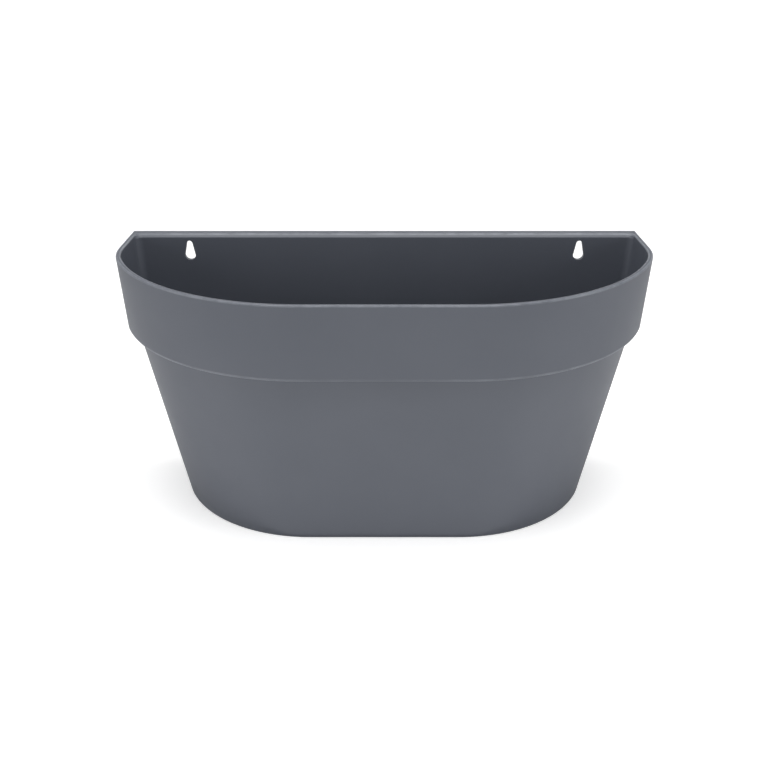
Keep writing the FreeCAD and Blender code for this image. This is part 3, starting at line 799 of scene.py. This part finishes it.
# %% Inputs of the openings
PIN_DEPTH = 12.0 * MM
SLOT_MARGIN = 7.0 * MM
SLOT_TALL = TRAY_RISE - TRAY_THICKNESS - 2 * SLOT_MARGIN
OPENING_INPUTS = [
    ("Pitch", "NodeSocketFloat", 15.0 * MM),
    ("Columns", "NodeSocketInt", 7),
    ("Rows", "NodeSocketInt", 6),
    ("Hole Radius", "NodeSocketFloat", 2.0 * MM),
    ("Hole Sides", "NodeSocketInt", 24),
    ("Slot Count", "NodeSocketInt", 8),
    ("Slot Ring Radius", "NodeSocketFloat", 26.5 * MM),
    ("Slot Size", "NodeSocketVector", (12.0 * MM, 3.0 * MM, SLOT_TALL)),
    ("Slot Level", "NodeSocketFloat", FLOOR_TOP + SLOT_MARGIN + SLOT_TALL / 2),
    ("Well Spacing", "NodeSocketFloat", 2 * WELL_REACH),
    ("Field Centre", "NodeSocketVector", (0.0, DRAIN_Y, TRAY_TOP)),
    ("Material", "NodeSocketMaterial", None),
]
print("slots:", round(SLOT_TALL / MM, 1), "mm tall")


# %% Nodes that set the seep holes
def seep_field(tree, given):
    """Pins on a grid between the wells."""
    columns_less_one = calculate(tree, "SUBTRACT", given["Columns"], 1.0)
    rows_less_one = calculate(tree, "SUBTRACT", given["Rows"], 1.0)
    grid = add_node(
        tree, "GeometryNodeMeshGrid",
        Size_X=calculate(tree, "MULTIPLY", given["Pitch"], columns_less_one),
        Size_Y=calculate(tree, "MULTIPLY", given["Pitch"], rows_less_one),
        Vertices_X=given["Columns"],
        Vertices_Y=given["Rows"],
    )
    pin = add_node(
        tree, "GeometryNodeMeshCylinder",
        Vertices=given["Hole Sides"], Radius=given["Hole Radius"], Depth=PIN_DEPTH,
    )
    pins = add_node(
        tree, "GeometryNodeInstanceOnPoints", Points=grid.outputs["Mesh"], Instance=pin.outputs["Mesh"],
    )
    field = add_node(
        tree, "GeometryNodeTransform",
        Geometry=pins.outputs["Instances"], Translation=given["Field Centre"],
    )
    return field.outputs["Geometry"]


# %% Nodes that set the slots
def rotation_about_z(tree, angle):
    """A rotation by an angle about the upright axis."""
    euler = add_node(tree, "ShaderNodeCombineXYZ", Z=angle).outputs["Vector"]
    return add_node(tree, "FunctionNodeEulerToRotation", Euler=euler).outputs["Rotation"]


def slot_ring(tree, given):
    """Upright bars on a circle, each facing out, none in line with the tray's sides."""
    circle = add_node(
        tree, "GeometryNodeMeshCircle", Vertices=given["Slot Count"], Radius=given["Slot Ring Radius"],
    )
    bar = add_node(tree, "GeometryNodeMeshCube", Size=given["Slot Size"])
    index = add_node(tree, "GeometryNodeInputIndex").outputs["Index"]
    step = calculate(tree, "DIVIDE", math.tau, given["Slot Count"])
    bars = add_node(
        tree, "GeometryNodeInstanceOnPoints",
        Points=circle.outputs["Mesh"],
        Instance=bar.outputs["Mesh"],
        Rotation=rotation_about_z(tree, calculate(tree, "MULTIPLY", index, step)),
    )
    half_step = calculate(tree, "DIVIDE", math.pi, given["Slot Count"])
    ring = add_node(
        tree, "GeometryNodeTransform",
        Geometry=bars.outputs["Instances"], Rotation=rotation_about_z(tree, half_step),
    )
    return ring.outputs["Geometry"]


def slots_in_both_wells(tree, given):
    """The ring of slots, set at the centre of each well."""
    centre = add_node(tree, "ShaderNodeSeparateXYZ", Vector=given["Field Centre"])
    left = calculate(tree, "MULTIPLY", given["Well Spacing"], -0.5)
    start = add_node(tree, "ShaderNodeCombineXYZ", X=left, Y=centre.outputs["Y"], Z=given["Slot Level"])
    stride = add_node(tree, "ShaderNodeCombineXYZ", X=given["Well Spacing"])
    wells = add_node(
        tree, "GeometryNodeMeshLine",
        Count=2, Start_Location=start.outputs["Vector"], Offset=stride.outputs["Vector"],
    )
    rings = add_node(
        tree, "GeometryNodeInstanceOnPoints",
        Points=wells.outputs["Mesh"], Instance=slot_ring(tree, given),
    )
    return rings.outputs["Instances"]


# %% The whole tree
def opening_tree():
    """A node tree that makes the cutters for all the tray's seep holes and slots."""
    tree = bpy.data.node_groups.new("tray_openings", "GeometryNodeTree")
    tree.interface.new_socket("Geometry", in_out="OUTPUT", socket_type="NodeSocketGeometry")
    for name, kind, value in OPENING_INPUTS:
        socket = tree.interface.new_socket(name, in_out="INPUT", socket_type=kind)
        if value is not None:
            socket.default_value = value
    given = add_node(tree, "NodeGroupInput").outputs
    joined = add_node(tree, "GeometryNodeJoinGeometry")
    tree.links.new(seep_field(tree, given), joined.inputs["Geometry"])
    tree.links.new(slots_in_both_wells(tree, given), joined.inputs["Geometry"])
    real = add_node(tree, "GeometryNodeRealizeInstances", Geometry=joined.outputs["Geometry"])
    dyed = add_node(
        tree, "GeometryNodeSetMaterial", Geometry=real.outputs["Geometry"], Material=given["Material"],
    )
    add_node(tree, "NodeGroupOutput", Geometry=dyed.outputs["Geometry"])
    return tree


def run_tree(name, tree, **inputs):
    """An object whose mesh is what a node tree makes with the given inputs."""
    piece = bpy.data.objects.new(name, bpy.data.meshes.new(name))
    bpy.context.scene.collection.objects.link(piece)
    step = piece.modifiers.new(name, "NODES")
    step.node_group = tree
    for socket in tree.interface.items_tree:
        key = socket.name.replace(" ", "_")
        if socket.in_out == "INPUT" and key in inputs:
            step[socket.identifier] = inputs[key]
    settle(piece)
    return piece


# %% Cut the openings into the tray
openings = run_tree("tray_openings", opening_tree(), Columns=7, Rows=6, Material=tray_plastic)
print("cutters:", len(openings.data.polygons), "faces")
combine(tray, [openings], "DIFFERENCE")
smooth_finish(tray, tray_plastic)
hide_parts("reservoir_floor")
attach(tray, "reservoir")

# %% [markdown]
# ## The drain plugs
#
# Each plug is one turned piece of rubber: a broad flange that seals against the floor from below and
# a hollow stem that springs in the hole. A small bar under the flange gives the fingers a hold. The
# turned part is a lathe profile, and the bar is a block with softened edges that is joined to it, as
# nothing turned could make it.

# %% Plug sizes
FLANGE_RADIUS = 13.0 * MM
PLUG_UNDER = FOOT_HEIGHT - 2.4 * MM
PLUG_TOP = FLOOR_TOP + 1.5 * MM
STEM_RADIUS = DRAIN_RADIUS - 0.05 * MM
BORE_RADIUS = STEM_RADIUS - 2.0 * MM
PLUG_ROUND = 0.8 * MM
BORE_ROUND = 0.4 * MM
SEAT_ROUND = 0.3 * MM
GRIP_LENGTH = 17.0 * MM
GRIP_WIDTH = 3.2 * MM
GRIP_DEPTH = 2.4 * MM
GRIP_SINK = 0.6 * MM
GRIP_BEVEL_STEPS = 4
plug_profile = [
    ((LATHE_CORE, PLUG_UNDER), 0.0),
    ((FLANGE_RADIUS, PLUG_UNDER), PLUG_ROUND),
    ((FLANGE_RADIUS, FOOT_HEIGHT), SEAT_ROUND),
    ((STEM_RADIUS, FOOT_HEIGHT), SEAT_ROUND),
    ((STEM_RADIUS, PLUG_TOP), PLUG_ROUND),
    ((BORE_RADIUS, PLUG_TOP), BORE_ROUND),
    ((BORE_RADIUS, FOOT_HEIGHT), BORE_ROUND),
    ((LATHE_CORE, FOOT_HEIGHT), 0.0),
]
print("plug:", round((PLUG_TOP - PLUG_UNDER) / MM, 1), "mm tall without its bar")


# %% Turn the plugs
def grip_bar(name, x):
    """The finger bar, sunk a little into the flange."""
    half_x = GRIP_LENGTH / 2
    half_y = GRIP_WIDTH / 2
    corners = [(-half_x, -half_y), (half_x, -half_y), (half_x, half_y), (-half_x, half_y)]
    rings = []
    for z in (PLUG_UNDER - GRIP_DEPTH, PLUG_UNDER + GRIP_SINK):
        rings.append([(x + dx, DRAIN_Y + dy, z) for dx, dy in corners])
    bar = skin(name, rings)
    soften = bar.modifiers.new("softened_edges", "BEVEL")
    soften.width = PLUG_ROUND / 2
    soften.segments = GRIP_BEVEL_STEPS
    settle(bar)
    return bar


for word, sign in SIDES:
    plug = lathe(f"drain_plug_{word}_skin", (sign * DRAIN_REACH, DRAIN_Y), plug_profile)
    combine(plug, [grip_bar(f"grip_{word}", sign * DRAIN_REACH)], "UNION")
    smooth_finish(plug, plug_rubber)
    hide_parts(f"drain_plug_{word}")
    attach(plug, f"plug_{word}")

# %% [markdown]
# ## White paper for the studio
#
# The photo is a cut-out on pure white, and a real studio gets near it with a roll of white paper that
# curves up behind the object. Stronger lamps would make the paper white too, but they would wash out
# the plastic. So the lamps stay low enough for the plastic, and the paper gets a glow of its own that
# only rays from the camera meet. The planter isn't lit by it.

# %% Paper sweep
FLOOR_SIZE = 8.0
BACKDROP_Y = 1.6
BACKDROP_TOP = 3.5
SWEEP_RADIUS = 0.8
SWEEP_STEPS = 12


def studio_floor():
    """A wide floor that curves up into a backdrop behind the planter."""
    half = FLOOR_SIZE / 2
    foot_y = BACKDROP_Y - SWEEP_RADIUS
    section = [(-half, 0.0), (foot_y, 0.0)]
    for i in range(1, SWEEP_STEPS + 1):
        angle = QUARTER_TURN * i / SWEEP_STEPS
        y = foot_y + SWEEP_RADIUS * math.sin(angle)
        section.append((y, SWEEP_RADIUS - SWEEP_RADIUS * math.cos(angle)))
    section.append((BACKDROP_Y, BACKDROP_TOP))
    verts = [(x, y, z) for y, z in section for x in (-half, half)]
    faces = [(2 * i, 2 * i + 1, 2 * i + 3, 2 * i + 2) for i in range(len(section) - 1)]
    mesh = bpy.data.meshes.new("studio_floor")
    mesh.from_pydata(verts, [], faces)
    for polygon in mesh.polygons:
        polygon.use_smooth = True
    floor = bpy.data.objects.new("studio_floor", mesh)
    bpy.context.scene.collection.objects.link(floor)
    return floor


# %% Paper that glows for the camera
PAPER = (0.86, 0.86, 0.86, 1.0)
WHITE = (1.0, 1.0, 1.0, 1.0)
PAPER_GLOW = 0.42


def for_camera(tree, others, camera):
    """One shader for rays from the camera and another for all the rest."""
    rays = add_node(tree, "ShaderNodeLightPath").outputs["Is Camera Ray"]
    node = add_node(tree, "ShaderNodeMixShader", Fac=rays)
    plug_in(tree, node.inputs[1], others)
    plug_in(tree, node.inputs[2], camera)
    return node.outputs["Shader"]


def white_paper():
    """Matt paper with a glow that only the camera sees."""
    material = bpy.data.materials.new("white_paper")
    material.use_nodes = True
    tree = material.node_tree
    tree.nodes.clear()
    matt = add_node(tree, "ShaderNodeBsdfDiffuse", Color=PAPER).outputs["BSDF"]
    glow = add_node(tree, "ShaderNodeEmission", Color=WHITE, Strength=PAPER_GLOW).outputs["Emission"]
    both = add_node(tree, "ShaderNodeAddShader")
    plug_in(tree, both.inputs[0], matt)
    plug_in(tree, both.inputs[1], glow)
    add_node(tree, "ShaderNodeOutputMaterial", Surface=for_camera(tree, matt, both.outputs["Shader"]))
    return material


floor = studio_floor()
floor.data.materials.append(white_paper())
floor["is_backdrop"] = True
print("paper:", FLOOR_SIZE, "m wide,", len(floor.data.polygons), "faces")

# %% [markdown]
# ## Light
#
# The photo's light is broad and even. It comes mostly from above, which makes the rim the palest line,
# and from both sides too, which lifts the round ends. One lamp alone would leave the ends dark, and
# light from a bright world alone would flatten the shapes, so five soft boxes share the work. The
# lowest lies on the table and stands in for the light that a white table throws back up. Where the
# paper ends, the camera sees a white room, but that room lights the planter only faintly.

# %% White room
WORLD_LEVEL = 0.15
world = bpy.data.worlds.new("white_studio")
bpy.context.scene.world = world
world.use_nodes = True
room_tree = world.node_tree
room_tree.nodes.clear()
room = add_node(room_tree, "ShaderNodeBackground", Color=WHITE, Strength=WORLD_LEVEL).outputs["Background"]
seen_room = add_node(room_tree, "ShaderNodeBackground", Color=WHITE, Strength=1.0).outputs["Background"]
add_node(room_tree, "ShaderNodeOutputWorld", Surface=for_camera(room_tree, room, seen_room))
print("room light:", WORLD_LEVEL)

# %% Soft boxes
OVERHEAD_POWER = 27.0
SIDE_POWER = 12.0
LOW_POWER = 3.5
TABLE_POWER = 1.0
SIDE_REACH = 1.8


def soft_box(name, size, power, place, aim):
    """A square area lamp that points at a spot."""
    lamp = bpy.data.lights.new(name, "AREA")
    lamp.shape = "SQUARE"
    lamp.size = size
    lamp.energy = power
    box = bpy.data.objects.new(name, lamp)
    box.location = place
    box.rotation_euler = (Vector(aim) - Vector(place)).to_track_quat("-Z", "Y").to_euler()
    bpy.context.scene.collection.objects.link(box)
    print(name, power, "W")


soft_box("overhead_softbox", 1.4, OVERHEAD_POWER, place=(0.0, -0.25, 1.7), aim=(0.0, 0.0, 0.15))
for word, sign in SIDES:
    soft_box(f"{word}_softbox", 1.0, SIDE_POWER, place=(sign * SIDE_REACH, -0.6, 0.6), aim=(0.0, 0.0, 0.1))
soft_box("low_softbox", 0.8, LOW_POWER, place=(0.0, -2.2, 0.8), aim=(0.0, 0.0, 0.2))
soft_box("table_glow", 1.0, TABLE_POWER, place=(0.0, -0.55, 0.004), aim=(0.0, -0.55, 1.0))

# %% [markdown]
# ## Camera
#
# The photo is taken from a little above, straight in front. A camera set by eye would be close, but the
# rim's curve and the two tapers would then not fit together. So, for a 50 mm lens, the camera was
# worked out from the outline, the rim and the base in the photo, as a distance from the wall, a height
# above the rim and a dip. The small shifts place the planter in the picture as the photo does.

# %% Camera at the photo's place
CAMERA_REACH = 0.97713
CAMERA_ABOVE_RIM = 0.29461
CAMERA_DIP = 24.954
IMAGE_SIZE = 768
SHIFT_PIXELS = (-0.372, 0.102)
lens = bpy.data.cameras.new("photo_camera")
lens.lens = 50.0
lens.sensor_width = 36.0
lens.shift_x = SHIFT_PIXELS[0] / IMAGE_SIZE
lens.shift_y = SHIFT_PIXELS[1] / IMAGE_SIZE
camera = bpy.data.objects.new("photo_camera", lens)
camera.location = (0.0, WALL_Y - CAMERA_REACH, RIM_Z + CAMERA_ABOVE_RIM)
camera.rotation_euler = (math.radians(90.0 - CAMERA_DIP), 0.0, 0.0)
bpy.context.scene.collection.objects.link(camera)
bpy.context.scene.camera = camera
bpy.context.scene.view_settings.view_transform = "Standard"
print("camera at", [round(value, 3) for value in camera.location], "dips", CAMERA_DIP, "degrees")

# %% [markdown]
# ## Sizes
#
# The dressed planter has to fill the same space as the solids, or it would not fit where the part is
# used. Its box could be checked by eye, but numbers are surer: both boxes, taken right after loading
# and now, are compared.

# %% Compare both boxes
dressed_box = [list(corner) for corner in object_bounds()]
growth = max(abs(a - b) for old, new in zip(CAD_BOX, dressed_box) for a, b in zip(old, new))
print("largest difference between the boxes:", round(growth / MM, 3), "mm")
